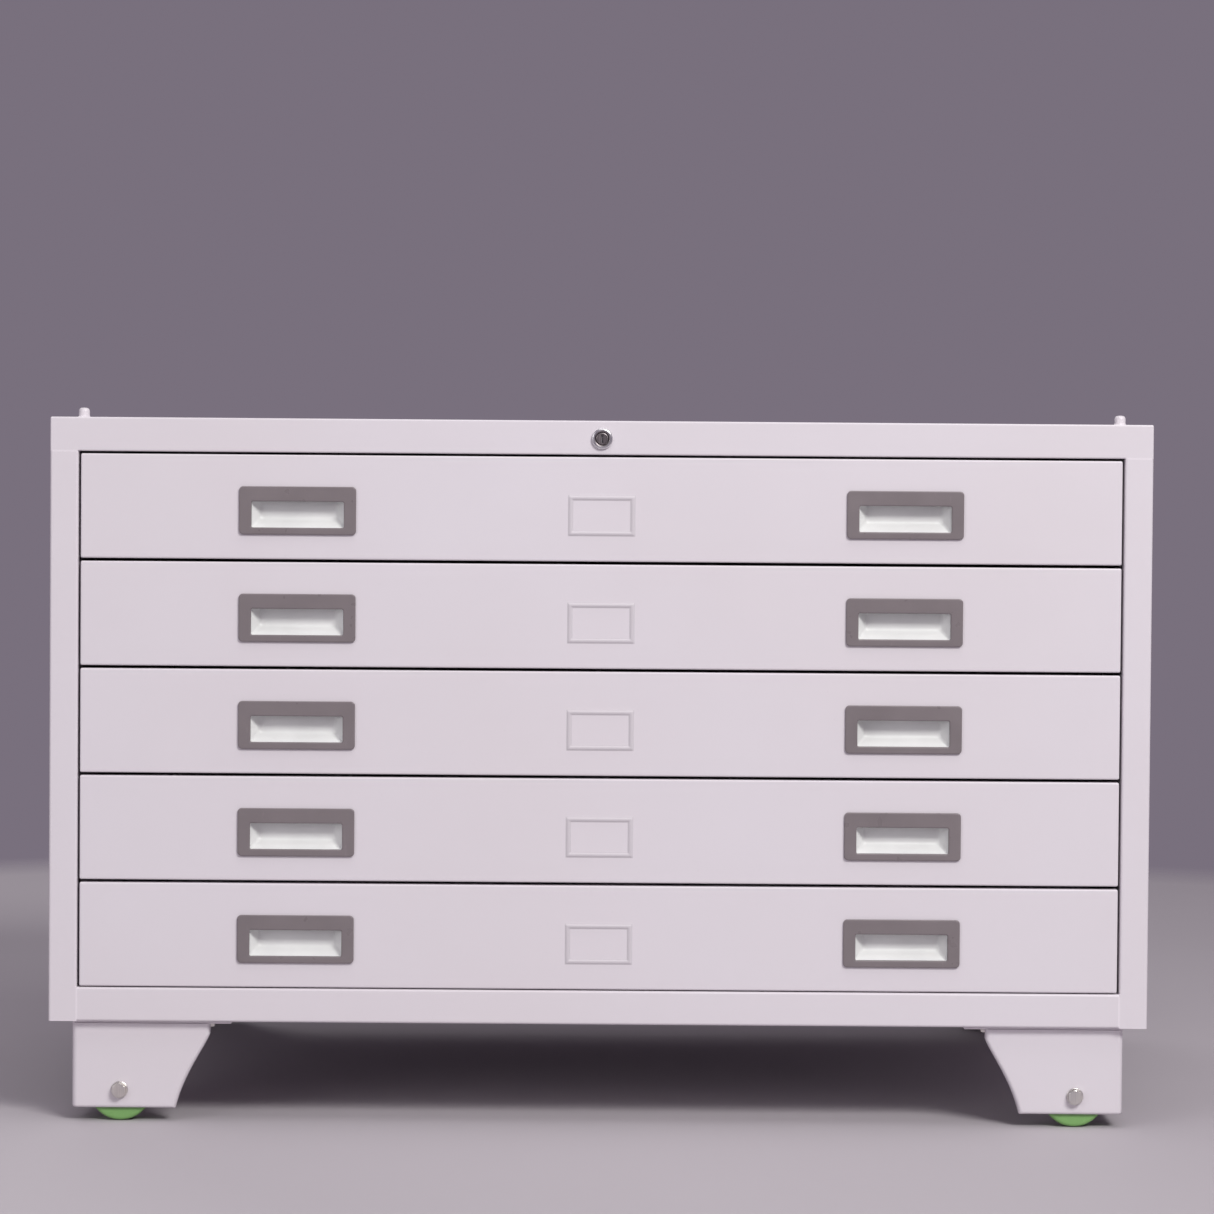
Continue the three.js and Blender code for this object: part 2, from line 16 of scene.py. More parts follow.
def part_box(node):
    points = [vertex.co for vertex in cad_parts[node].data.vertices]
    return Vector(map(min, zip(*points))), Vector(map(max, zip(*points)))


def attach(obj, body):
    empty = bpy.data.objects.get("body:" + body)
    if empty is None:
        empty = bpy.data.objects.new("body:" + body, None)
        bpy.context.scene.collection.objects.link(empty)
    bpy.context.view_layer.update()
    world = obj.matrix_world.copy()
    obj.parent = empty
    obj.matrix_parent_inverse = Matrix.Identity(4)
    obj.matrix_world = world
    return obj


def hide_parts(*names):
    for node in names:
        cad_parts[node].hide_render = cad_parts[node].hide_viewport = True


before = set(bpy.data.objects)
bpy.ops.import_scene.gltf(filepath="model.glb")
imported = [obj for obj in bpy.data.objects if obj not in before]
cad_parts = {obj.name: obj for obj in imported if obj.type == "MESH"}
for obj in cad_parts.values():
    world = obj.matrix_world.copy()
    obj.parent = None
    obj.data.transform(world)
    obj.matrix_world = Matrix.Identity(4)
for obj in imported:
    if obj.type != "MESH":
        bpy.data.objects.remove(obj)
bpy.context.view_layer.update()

DRAWERS = range(1, 6)
SIDES = (("left", -1), ("right", 1))
CORNERS = [(f"{end}_{side}", sx, sy) for end, sy in (("front", -1), ("rear", 1)) for side, sx in SIDES]


def box_mm(node):
    low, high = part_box(node)
    return np.array(low) * 1000, np.array(high) * 1000


back_low, back_high = box_mm("back_panel")
side_low, side_high = box_mm("side_panel_right")
floor_low, floor_high = box_mm("bottom_panel")
cap_low, cap_high = box_mm("top_panel")
face_low, face_high = box_mm("drawer_1_front")

SHEET = 1.2
HALF = side_high[0]
OPENING = side_low[0]  # inner edge of the stiles, from the middle
FRONT = floor_low[1]
BACK = back_high[1]
BODY_LOW = back_low[2]
OPENING_TOP = cap_low[2]
STUD_HEIGHT = 9.7
BODY_TOP = cap_high[2] - STUD_HEIGHT
OPENING_LOW = floor_high[2]
FACE_HALF = face_high[0]
FACE_HEIGHT = face_high[2] - face_low[2]
FACE_LOW = {n: box_mm(f"drawer_{n}_front")[0][2] for n in DRAWERS}


# ---------------------------------------------------------------- materials


class Nodes:
    """A material's node tree, with short calls to add and join nodes."""

    def __init__(self, name):
        self.material = bpy.data.materials.new(name)
        self.material.use_nodes = True
        self.tree = self.material.node_tree
        self.shader = self.tree.nodes["Principled BSDF"]
        self.place = self.add("ShaderNodeTexCoord").outputs["Object"]

    def add(self, kind, inputs=None, **settings):
        node = self.tree.nodes.new(kind)
        for key, value in settings.items():
            setattr(node, key, value)
        for key, value in (inputs or {}).items():
            if isinstance(value, bpy.types.NodeSocket):
                self.tree.links.new(value, node.inputs[key])
            else:
                node.inputs[key].default_value = value
        return node

    def noise(self, scale, detail=2.0, roughness=0.5, stretch=(1, 1, 1)):
        place = self.place
        if stretch != (1, 1, 1):
            place = self.add("ShaderNodeMapping", {"Vector": place, "Scale": stretch}).outputs["Vector"]
        inputs = {"Vector": place, "Scale": scale, "Detail": detail, "Roughness": roughness}
        return self.add("ShaderNodeTexNoise", inputs).outputs["Fac"]

    def ramp(self, factor, *stops):
        """stops are (position, colour or grey)."""
        node = self.add("ShaderNodeValToRGB", {"Fac": factor})
        elements = node.color_ramp.elements
        while len(elements) < len(stops):
            elements.new(0.5)
        for element, (position, value) in zip(elements, stops):
            element.position = position
            colour = value if isinstance(value, tuple) else (value,) * 3
            element.color = (*colour, 1)
        return node.outputs["Color"]

    def mix(self, factor, a, b, blend="MIX"):
        node = self.add("ShaderNodeMix", data_type="RGBA", blend_type=blend)
        for socket, value in zip((node.inputs[0], node.inputs[6], node.inputs[7]), (factor, a, b)):
            if isinstance(value, bpy.types.NodeSocket):
                self.tree.links.new(value, socket)
            else:
                socket.default_value = value if isinstance(value, float) else (*value, 1)
        return node.outputs[2]

    def edges(self, radius):
        """1 on edges with about this radius or sharper, and 0 on flat faces."""
        rounded = self.add("ShaderNodeBevel", {"Radius": radius}, samples=4).outputs["Normal"]
        face = self.add("ShaderNodeNewGeometry").outputs["Normal"]
        dot = self.add("ShaderNodeVectorMath", {0: rounded, 1: face}, operation="DOT_PRODUCT")
        return self.ramp(dot.outputs["Value"], (0.78, 1.0), (0.94, 0.0))

    def bump(self, height, strength, distance, below=None):
        inputs = {"Height": height, "Strength": strength, "Distance": distance}
        if below is not None:
            inputs["Normal"] = below
        return self.add("ShaderNodeBump", inputs).outputs["Normal"]

    def finish(self, **inputs):
        for key, value in inputs.items():
            socket = self.shader.inputs[key.replace("_", " ")]
            if isinstance(value, bpy.types.NodeSocket):
                self.tree.links.new(value, socket)
            elif isinstance(value, tuple):
                socket.default_value = (*value, 1)
            else:
                socket.default_value = value
        return self.material


def tinted(colour, by, warm=0.0):
    return tuple(c * by * (1 + w) for c, w in zip(colour, (warm, 0, -warm)))


def powder_coat(name, colour, roughness=0.42, peel=0.05, edge_highlight_gain=1.2):
    """Sprayed satin paint: faint cloudy tint, uneven gloss, fine orange peel and painted edge highlights."""
    m = Nodes(name)
    darker, lighter = tinted(colour, 0.985, 0.006), tinted(colour, 1.012, -0.004)
    clouds = m.ramp(m.noise(3.1, 3), (0.3, darker), (0.7, lighter))
    specks = m.ramp(m.noise(420, 3, 0.6), (0.66, (1.0, 1.0, 1.0)), (0.76, (0.965, 0.965, 0.965)))
    gloss = m.ramp(m.noise(17, 4), (0.3, roughness - 0.05), (0.7, roughness + 0.06))
    edge = m.edges(0.0026)
    # Edges are painted lighter, a painted highlight for light catching the folds. Chips of bare steel on edges
    # are wear.
    edge_highlight_colour = tuple(min(1.0, c * edge_highlight_gain) for c in colour)
    edge_highlit = m.mix(edge, m.mix(1.0, clouds, specks, "MULTIPLY"), edge_highlight_colour)
    chips = m.ramp(m.noise(75, 5, 0.7), (0.70, 0.0), (0.74, 1.0))
    chipped = m.add("ShaderNodeMath", {0: chips, 1: edge}, operation="MULTIPLY").outputs["Value"]
    waves = m.bump(m.noise(260, 2), peel, 0.0004)
    grain = m.bump(m.noise(1500, 2), peel * 0.8, 0.00012, waves)
    steel = (0.42, 0.40, 0.41)
    return m.finish(
        Base_Color=m.mix(chipped, edge_highlit, steel),
        Roughness=gloss,
        Normal=grain,
        Coat_Weight=0.12,
        Coat_Roughness=0.3,
    )


def plated(name, colour, roughness, brushed, tint=(1.0, 1.0, 1.0), strength=0.12):
    """Metal with fine streaks along one axis, cloudy plating and small scratches."""
    m = Nodes(name)
    stretch = tuple(0.04 if axis == brushed else 1.0 for axis in "XYZ")
    streaks = m.noise(900, 4, 0.6, stretch)
    bright = tuple(c * t for c, t in zip(colour, tint))
    clouds = m.ramp(m.noise(38, 4), (0.35, tinted(colour, 0.86)), (0.65, bright))
    streaked = m.mix(0.35, clouds, m.ramp(streaks, (0.35, tinted(colour, 0.75)), (0.65, colour)))
    rough = m.ramp(m.noise(120, 4, 0.6, stretch), (0.3, roughness * 0.75), (0.7, roughness * 1.3))
    return m.finish(
        Base_Color=streaked,
        Metallic=1.0,
        Roughness=rough,
        Normal=m.bump(streaks, strength, 0.0002),
    )


def moulded(name, colour, roughness, grain=900, strength=0.12, scuff=0.0):
    """Moulded plastic: fine spark-eroded grain, a faint flow pattern and a few paler scuffs."""
    m = Nodes(name)
    flow = m.ramp(m.noise(21, 3), (0.3, tinted(colour, 0.94)), (0.7, tinted(colour, 1.05)))
    pale = tuple(min(1.0, c * 1.35 + 0.03) for c in colour)
    marks = m.ramp(m.noise(160, 6, 0.7, (1, 1, 0.25)), (0.63, 0.0), (0.7, 1.0))
    amount = m.add("ShaderNodeMath", {0: marks, 1: scuff}, operation="MULTIPLY").outputs["Value"]
    rough = m.ramp(m.noise(55, 3), (0.3, roughness - 0.06), (0.7, roughness + 0.08))
    return m.finish(
        Base_Color=m.mix(amount, flow, pale),
        Roughness=rough,
        Normal=m.bump(m.noise(grain, 2), strength, 0.0001),
    )


WHITE = (0.725, 0.683, 0.722)
PAINT = powder_coat("white_powder_coat", WHITE)
# Darker paint for the card holder's rim: painted shade for the shadow lines around its raised frame.
PAINT_RIM_SHADE = powder_coat("white_powder_coat_rim_shade", tinted(WHITE, 0.84), 0.5, edge_highlight_gain=1.0)
PAINT_INSIDE = powder_coat("white_powder_coat_inside", tinted(WHITE, 0.97), 0.5, 0.08)
ZINC = plated("zinc_plate", (0.62, 0.63, 0.66), 0.34, "Y", (1.02, 1.0, 0.95))
BOLT_ZINC = plated("zinc_bolt", (0.80, 0.78, 0.76), 0.36, "Z", (1.03, 1.0, 0.95))
CHROME = plated("chrome_plate", (0.86, 0.85, 0.87), 0.3, "Z", (1.0, 1.0, 1.0), 0.03)
# Dark metal on the lock's plug and bore: painted dark reflection on the face, painted shade in the bore.
LOCK_PAINTED_DARK = plated("lock_painted_dark", (0.26, 0.235, 0.245), 0.38, "Z", (1.05, 1.0, 1.0), 0.05)
BALL_STEEL = plated("ball_steel", (0.75, 0.76, 0.78), 0.1, "Z", (1, 1, 1), 0.01)
GREY = moulded("grey_plastic", (0.205, 0.178, 0.186), 0.32, scuff=0.25)
CUP = moulded("pale_plastic", (0.84, 0.85, 0.84), 0.34, scuff=0.15)
# Black in the shallow keyway: painted shade standing in for the depth of a real keyway.
KEYWAY_SHADE = moulded("keyway_painted_shade", (0.018, 0.018, 0.02), 0.42, scuff=0.3)
HUB = moulded("wheel_hub", (0.62, 0.62, 0.60), 0.4, scuff=0.3)
GREEN = moulded("green_polyurethane", (0.21, 0.42, 0.135), 0.40, 300, 0.2, 0.3)


# ---------------------------------------------------------------- making meshes


def make(name, points, faces, material, body, slots=None, angle=38):
    """An object from points in millimetres. slots gives each face's material index."""
    mesh = bpy.data.meshes.new(name)
    mesh.from_pydata([tuple(float(c) * 0.001 for c in p) for p in points], [], faces)
    materials = material if isinstance(material, list) else [material]
    for each in materials:
        mesh.materials.append(each)
    if slots is not None:
        mesh.polygons.foreach_set("material_index", slots)
    mesh.validate()
    bm = bmesh.new()
    bm.from_mesh(mesh)
    bmesh.ops.remove_doubles(bm, verts=bm.verts, dist=1e-7)
    bmesh.ops.recalc_face_normals(bm, faces=bm.faces)
    bm.to_mesh(mesh)
    bm.free()
    mesh.polygons.foreach_set("use_smooth", [True] * len(mesh.polygons))
    mesh.set_sharp_from_angle(angle=math.radians(angle))
    obj = bpy.data.objects.new(name, mesh)
    bpy.context.scene.collection.objects.link(obj)
    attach(obj, body)
    return obj


def weighted(obj):
    modifier = obj.modifiers.new("weighted", "WEIGHTED_NORMAL")
    modifier.keep_sharp = True
    return obj


class Shape:
    """Points, faces and material indices gathered from several shells before they become one object."""

    def __init__(self):
        self.points = []
        self.faces = []
        self.slots = []

    def add(self, points, faces, slots=0):
        first = len(self.points)
        self.points += [tuple(p) for p in points]
        self.faces += [tuple(first + i for i in face) for face in faces]
        self.slots += slots if isinstance(slots, list) else [slots] * len(faces)
        return self

    def make(self, name, material, body, slot=None, angle=38):
        return weighted(make(name, self.points, self.faces, material, body, self.slots, angle))


def placed(axis, u, v, along):
    """A point from its two places across an axis and its place along it."""
    if axis == "X":
        return (along, u, v)
    if axis == "Y":
        return (u, along, v)
    return (u, v, along)


def bent(points, radius, steps=4):
    """A line with each corner rounded: a list of (place, normal to its left)."""
    points = [np.array(p, float) for p in points]
    found = []
    for i, here in enumerate(points):
        into = here - points[i - 1] if i else points[1] - here
        out = points[i + 1] - here if i + 1 < len(points) else into
        into, out = into / np.linalg.norm(into), out / np.linalg.norm(out)
        turn = math.atan2(into[0] * out[1] - into[1] * out[0], float(into @ out))
        if not 0 < i < len(points) - 1 or abs(turn) < 1e-6:
            found.append((here, np.array([-into[1], into[0]])))
            continue
        back = radius * math.tan(abs(turn) / 2)
        start = here - into * back
        left = np.array([-into[1], into[0]]) * math.copysign(1, turn)
        centre = start + left * radius
        for k in range(steps + 1):
            a = turn * k / steps
            x, y = -left * radius
            cos, sin = math.cos(a), math.sin(a)
            arm = np.array([x * cos - y * sin, x * sin + y * cos])
            found.append((centre + arm, -arm / radius * math.copysign(1, turn)))
    return found


def folded(shape, points, axis, start, end, thickness=SHEET, radius=1.9, steps=4, slot=0):
    """Sheet folded along a line of its middle surface, as long as start to end along an axis."""
    line = bent(points, radius, steps)
    ring = [p + n * thickness / 2 for p, n in line] + [p - n * thickness / 2 for p, n in reversed(line)]
    count = len(ring)
    points3 = [placed(axis, u, v, along) for along in (start, end) for u, v in ring]
    faces = [(i, (i + 1) % count, count + (i + 1) % count, count + i) for i in range(count)]
    for base in (0, count):
        last = base + count - 1
        faces += [(base + i, base + i + 1, last - 1 - i, last - i) for i in range(count // 2 - 1)]
    return shape.add(points3, faces, slot)


def rounded_box(shape, low, high, radius=0.5, steps=2, slot=0):
    """A box with rounded edges, as eight corner patches joined up."""
    low, high = np.minimum(low, high).astype(float), np.maximum(low, high).astype(float)
    radius = min(radius, float((high - low).min()) / 2.001)
    angles = [math.pi / 2 * k / steps for k in range(steps + 1)]
    rows = []
    for a in [-math.pi / 2 + t for t in angles] + angles:
        upper = a > 0 or (a == 0 and len(rows) > steps)
        z = (high[2] - radius if upper else low[2] + radius) + radius * math.sin(a)
        reach = radius * math.cos(a)
        row = []
        for corner, (sx, sy) in enumerate(((1, 1), (-1, 1), (-1, -1), (1, -1))):
            cx = high[0] - radius if sx > 0 else low[0] + radius
            cy = high[1] - radius if sy > 0 else low[1] + radius
            for t in angles:
                b = corner * math.pi / 2 + t
                row.append((cx + reach * math.cos(b), cy + reach * math.sin(b), z))
        rows.append(row)
    return tube(shape, rows, slot)


def tube(shape, rows, slot=0, cap=(True, True), slots=None):
    """Faces between rows of points that each close on themselves, with flat ends."""
    count = len(rows[0])
    points = [p for row in rows for p in row]
    faces, kinds = [], []
    for r in range(len(rows) - 1):
        for i in range(count):
            j = (i + 1) % count
            faces.append((r * count + i, r * count + j, (r + 1) * count + j, (r + 1) * count + i))
            kinds.append(slots[r] if slots else slot)
    if cap[0]:
        faces.append(tuple(reversed(range(count))))
        kinds.append(slots[0] if slots else slot)
    if cap[1]:
        faces.append(tuple((len(rows) - 1) * count + i for i in range(count)))
        kinds.append(slots[-1] if slots else slot)
    return shape.add(points, faces, kinds)


def turned(shape, profile, centre, axis="Y", segments=48, direction=1, slot=0, slots=None, cap=(True, True)):
    """A turned shape. profile is (radius, distance along the axis from the centre)."""
    turns = [2 * math.pi * (k + 0.5) / segments for k in range(segments)]
    rows = []
    for r, h in profile:
        circle = [placed(axis, r * math.cos(t), r * math.sin(t), h * direction) for t in turns]
        rows.append([np.add(centre, point) for point in circle])
    return tube(shape, rows, slot, cap, slots)


def hexagon(shape, across, profile, centre, axis="Y", direction=1, slot=0):
    """A hexagon head or nut. profile is (share of the full size, distance along the axis)."""
    corner = across / 2 / math.cos(math.pi / 6)
    rows = []
    for share, h in profile:
        row = []
        for k in range(36):
            a = 2 * math.pi * k / 36
            flat = across / 2 / math.cos((a + math.pi / 6) % (math.pi / 3) - math.pi / 6)
            r = min(flat, corner * share)
            row.append(np.add(centre, placed(axis, r * math.cos(a), r * math.sin(a), h * direction)))
        rows.append(row)
    return tube(shape, rows, slot)


def rivet(shape, centre, axis, direction, radius=3.2):
    dome = [(radius, 0), (radius * 0.98, 0.3), (radius * 0.8, 0.75), (radius * 0.45, 0.98), (0.02, 1.0)]
    turned(shape, dome, centre, axis, 20, direction)


def ball(shape, centre, radius, slot):
    profile = [(radius * math.sin(a), -radius * math.cos(a)) for a in np.linspace(0.06, math.pi - 0.06, 9)]
    turned(shape, profile, centre, "Z", 14, 1, slot)


def rounded_rectangle(x_low, x_high, z_low, z_high, radius, y, steps=5):
    row = []
    corners = ((x_high - radius, z_low + radius), (x_high - radius, z_high - radius),
               (x_low + radius, z_high - radius), (x_low + radius, z_low + radius))
    for k, (cx, cz) in enumerate(corners):
        for s in range(steps + 1):
            a = math.pi / 2 * (k - 1 + s / steps)
            row.append((cx + radius * math.cos(a), y, cz + radius * math.sin(a)))
    return row


def settled(obj, angle=38):
    """Turns the modifiers into mesh, and marks its sharp edges so flat faces are shaded flat."""
    found = obj.evaluated_get(bpy.context.evaluated_depsgraph_get())
    mesh = bpy.data.meshes.new_from_object(found)
    obj.modifiers.clear()
    obj.data = mesh
    mesh.set_sharp_from_angle(angle=math.radians(angle))
    return obj


def shell(name, points, faces, material, body, thickness, radius, slots=None):
    """An open shell with rounded folds and the sheet's thickness inside it."""
    obj = make(name, points, faces, material, body, slots, 180)
    bevel = obj.modifiers.new("folds", "BEVEL")
    bevel.width = radius * 0.001
    bevel.segments = 4
    bevel.limit_method = "ANGLE"
    bevel.angle_limit = math.radians(65)
    solid = obj.modifiers.new("sheet", "SOLIDIFY")
    solid.thickness = thickness * 0.001
    solid.offset = -1
    solid.use_even_offset = True
    return weighted(settled(obj))


def grid_shell(columns, rows, place, skip=None):
    """Points and faces of a grid, leaving out the cells whose middle skip() picks."""
    points = [place(u, v) for v in rows for u in columns]
    count = len(columns)
    faces = []
    for j in range(len(rows) - 1):
        for i in range(count - 1):
            if skip and skip((columns[i] + columns[i + 1]) / 2, (rows[j] + rows[j + 1]) / 2):
                continue
            first = j * count + i
            faces.append((first, first + 1, first + count + 1, first + count))
    return points, faces


def sheet_shell(name, points, faces, material, body, thickness, towards):
    """An open painted surface made into sheet. towards is a place on its outside and the way out there."""
    obj = make(name, points, faces, material, body, None, 180)
    place, direction = Vector(towards[0]) * 0.001, Vector(towards[1])
    nearest = min(obj.data.polygons, key=lambda p: (p.center - place).length)
    if nearest.normal.dot(direction) < 0:
        obj.data.flip_normals()
    solid = obj.modifiers.new("sheet", "SOLIDIFY")
    solid.thickness = thickness * 0.001
    solid.offset = -1
    solid.use_even_offset = False
    return weighted(settled(obj))


# ---------------------------------------------------------------- cabinet body

POSTS = [FRONT + 55, 0, BACK - 55]
MID = SHEET / 2
JOIN = 0.02  # keeps two lengths of one sheet from sharing points, which would bend their shading


def side_panel(name, side):
    """Outer skin with its stile, rear flange and closing tab, and the three slide posts inside it."""
    shape = Shape()
    rear = BACK - SHEET - 0.3
    skin = [
        (side * (OPENING + MID), FRONT + 20),
        (side * (OPENING + MID), FRONT + MID),
        (side * (HALF - MID), FRONT + MID),
        (side * (HALF - MID), rear - MID),
        (side * (HALF - 25), rear - MID),
    ]
    top = OPENING_TOP - 0.02
    folded(shape, skin, "Z", OPENING_LOW + JOIN, top)
    beside_rail = [(side * OPENING, FRONT + MID), *skin[2:]]
    folded(shape, beside_rail, "Z", BODY_LOW, OPENING_LOW)
    tab_outer = (side * (HALF - SHEET - 0.05), FRONT + SHEET + 0.05, BODY_LOW)
    tab_inner = (side * OPENING, FRONT + 20, BODY_LOW + SHEET)
    rounded_box(shape, tab_outer, tab_inner, 0.3, 1)
    for y in POSTS:
        post = [
            (side * (HALF - SHEET - 0.1), y - 20 + MID),
            (side * (OPENING + MID), y - 20 + MID),
            (side * (OPENING + MID), y + 20 - MID),
            (side * (HALF - SHEET - 0.1), y + 20 - MID),
        ]
        folded(shape, post, "Z", BODY_LOW + 1.5, top, slot=1)
    obj = shape.make(f"{name}_folded", [PAINT, PAINT_INSIDE], "cabinet", "white_paint")
    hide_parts(name)


for side_name, side in SIDES:
    side_panel(f"side_panel_{side_name}", side)


def top_cap():
    """The top: a shallow cap, its front rail folded back underneath."""
    shape = Shape()
    x, low, high = HALF, OPENING_TOP, BODY_TOP
    shape.add(*grid_shell([-x, -OPENING, 0, OPENING, x], [FRONT, 0, BACK], lambda u, v: (u, v, high)))
    for y in (FRONT, BACK):
        shape.add(*grid_shell([-x, -OPENING, 0, OPENING, x], [low, high], lambda u, v: (u, y, v)))
    for end in (-x, x):
        shape.add(*grid_shell([FRONT, 0, BACK], [low, high], lambda u, v: (end, u, v)))
    shape.add(*grid_shell([-OPENING, 0, OPENING], [FRONT, FRONT + 18], lambda u, v: (u, v, low)))
    obj = shell("top_cap", shape.points, shape.faces, PAINT, "cabinet", SHEET, 1.7)
    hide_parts("top_panel")


top_cap()

STUD_X = 520
STUD_Y = FRONT + 30
STUD_RADIUS = 5.5


def stacking_stud(name, side):
    """A rounded peg with a bead of weld at its foot."""
    stud = Shape()
    bead = [(7.4, -0.4), (7.2, 0.25), (6.2, 0.75), (STUD_RADIUS, 1.5)]
    peg = [(STUD_RADIUS, 6.0), (5.25, 7.4), (4.5, 8.7), (3.2, 9.45)]
    end = [(1.5, STUD_HEIGHT), (0.05, STUD_HEIGHT)]
    turned(stud, bead + peg + end, (side * STUD_X, STUD_Y, BODY_TOP), "Z", 40)
    stud.make(name, PAINT, "cabinet", "white_paint")


for side_name, side in SIDES:
    stacking_stud(f"stacking_stud_{side_name}", side)


def bottom_panel():
    """The floor, with the bottom rail folded up at its front and a flange at its rear."""
    shape = Shape()
    rear = BACK - 2 * SHEET - 0.6
    end = OPENING - 0.01
    low = BODY_LOW + MID
    line = [
        (rear - MID, BODY_LOW + 25),
        (rear - MID, low),
        (FRONT + MID, low),
        (FRONT + MID, OPENING_LOW - MID),
        (FRONT + 18 - MID, OPENING_LOW - MID),
        (FRONT + 18 - MID, OPENING_LOW - 12),
    ]
    folded(shape, line, "X", -end, end)
    for side in (-1, 1):
        wing = [(rear - MID, BODY_LOW + 25), (rear - MID, low), (FRONT + 20.3, low)]
        folded(shape, wing, "X", side * (end + JOIN), side * (HALF - SHEET - 0.3))
    obj = shape.make("bottom_folded", PAINT, "cabinet", "white_paint")
    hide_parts("bottom_panel")


bottom_panel()


def back_panel():
    """A flat sheet with a shallow pressed field that stiffens it."""
    shape = Shape()
    x, low, high = HALF, BODY_LOW, OPENING_TOP - 0.3
    inset, slope, depth = 60, 9, 0.55

    def steps(start, end):
        near, far = start + inset, end - inset
        ramp = [0, slope * 0.25, slope * 0.75, slope]
        return [start, *[near + s for s in ramp], *[far - s for s in reversed(ramp)], end]

    def rise(value, start, end):
        edge = min(value - start, end - value) - inset
        t = min(1.0, max(0.0, edge / slope))
        return t * t * (3 - 2 * t)

    def outer(u, v):
        pressed = min(rise(u, -x, x), rise(v, low, high))
        return (u, BACK - depth * pressed, v)

    columns, rows = steps(-x, x), steps(low, high)
    points, faces = grid_shell(columns, rows, outer)
    inner = [(px, py - SHEET + 0.4 * (py < BACK - 0.3), pz) for px, py, pz in points]
    count = len(columns)
    edge = [*range(count), *[j * count + count - 1 for j in range(1, len(rows))],
            *[(len(rows) - 1) * count + i for i in range(count - 2, -1, -1)],
            *[j * count for j in range(len(rows) - 2, 0, -1)]]
    size = len(points)
    faces += [tuple(size + i for i in reversed(face)) for face in faces]
    faces += [(a, b, size + b, size + a) for a, b in zip(edge, edge[1:] + edge[:1])]
    shape.add(points + inner, faces)
    obj = shape.make("back_sheet", PAINT, "cabinet", "white_paint", 25)
    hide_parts("back_panel")
    fixings = Shape()
    for z in (low + 12, (low + high) / 2, high - 12):
        for px in (-x + 12, x - 12):
            rivet(fixings, (px, BACK - 0.05, z), "Y", 1)
    for px in np.linspace(-x + 190, x - 190, 5):
        rivet(fixings, (px, BACK - 0.05, low + 12), "Y", 1)
    fixings.make("back_rivets", PAINT, "cabinet", "white_paint")


back_panel()

# ---------------------------------------------------------------- legs, wheels and axle bolts

LEG_TOP_WIDTH = 138
LEG_FOOT_WIDTH = 103.5
LEG_EDGE = 4.2  # radius of the rolled edges
LEG_FOOT_EDGE = 3.0
LEG_CORNER = 5.5
LEG_PLATE = 3
LEG_SHEET = 1.6
WHEEL_RADIUS = 32
AXLE_Z = WHEEL_RADIUS


def bezier(a, b, c, d, t):
    a, b, c, d = (np.array(p, float) for p in (a, b, c, d))
    return a * (1 - t) ** 3 + 3 * b * t * (1 - t) ** 2 + 3 * c * t * t * (1 - t) + d * t**3


def roll(radius, steps=5):
    """Quarter turn over an edge: (distance still to go to the edge, depth behind the face)."""
    turns = [math.pi / 2 * k / steps for k in range(steps + 1)]
    return [(radius * (1 - math.sin(a)), radius * (1 - math.cos(a))) for a in turns]


def leg(corner, sx, sy):
    """A leg's curved corner of sheet, its top plate and axle bracket, and the bolts through the plate."""
    low, high = box_mm(f"leg_{corner}")
    side = high[0] if sx > 0 else -low[0]
    end = high[1] if sy > 0 else -low[1]
    foot, top = low[2], high[2]

    handles = ((LEG_FOOT_WIDTH, 0), (LEG_FOOT_WIDTH + 9, 36), (LEG_TOP_WIDTH - 4, 62), (LEG_TOP_WIDTH, 75))
    curve = [bezier(*handles, k / 16) for k in range(17)]

    def width(z):
        return float(np.interp(z - foot, [p[1] for p in curve], [p[0] for p in curve]))

    rows = [(foot + to_go, deep) for to_go, deep in reversed(roll(LEG_FOOT_EDGE))]
    rows += [(foot + p[1], 0) for p in curve if p[1] > 4] + [(top - LEG_PLATE, 0)]
    edge = roll(LEG_EDGE)
    flats = [0.12, 0.3, 0.5, 0.7, 0.88]
    points, count = [], 0
    for z, deep in rows:
        w = width(z)
        run = [(w, 12.0)] + [(w - to_go, max(deep, d)) for to_go, d in reversed(edge)]
        run += [(LEG_CORNER + (w - LEG_EDGE - LEG_CORNER) * f, deep) for f in reversed(flats)]
        bend = []
        for k in range(7):
            a = math.pi / 2 * k / 6
            r = LEG_CORNER - deep
            bend.append((LEG_CORNER - r * math.sin(a), LEG_CORNER - r * math.cos(a)))
        line = run + bend + [(v, u) for u, v in reversed(run)]
        count = len(line)
        points += [(sx * (side - u), sy * (end - v), z) for u, v in line]
    faces = [
        (j * count + i, j * count + i + 1, (j + 1) * count + i + 1, (j + 1) * count + i)
        for j in range(len(rows) - 1) for i in range(count - 1)
    ]
    towards = ((sx * (side - 60), sy * end, foot + 50), (0, sy, 0))
    skin = sheet_shell(f"leg_skin_{corner}", points, faces, PAINT, "cabinet", LEG_SHEET, towards)
    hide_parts(f"leg_{corner}")

    def inside(u, v, z):
        """The point that far in from the leg's outer corner."""
        return (sx * (side - u), sy * (end - v), z)

    rest = Shape()
    under = top - LEG_PLATE
    rounded_box(rest, inside(0.6, 0.6, under), inside(160, 146, top), 1.2, 3)
    rounded_box(rest, inside(16, 34, foot + 3), inside(76, 36, under + 0.5), 0.6)
    rest.make(f"leg_plate_{corner}", PAINT, "cabinet", "white_paint")

    bolts = Shape()
    for u, v in ((24, 124), (136, 24), (136, 124)):
        seat = inside(u, v, under - 1.4)
        turned(bolts, [(7.5, 0), (7.5, 1.2), (7.0, 1.4)], seat, "Z", 24)
        hexagon(bolts, 10, [(1, 0), (1, 3.4), (0.93, 4)], seat, "Z", -1)
    bolts.make(f"leg_bolts_{corner}", BOLT_ZINC, "cabinet", "zinc")


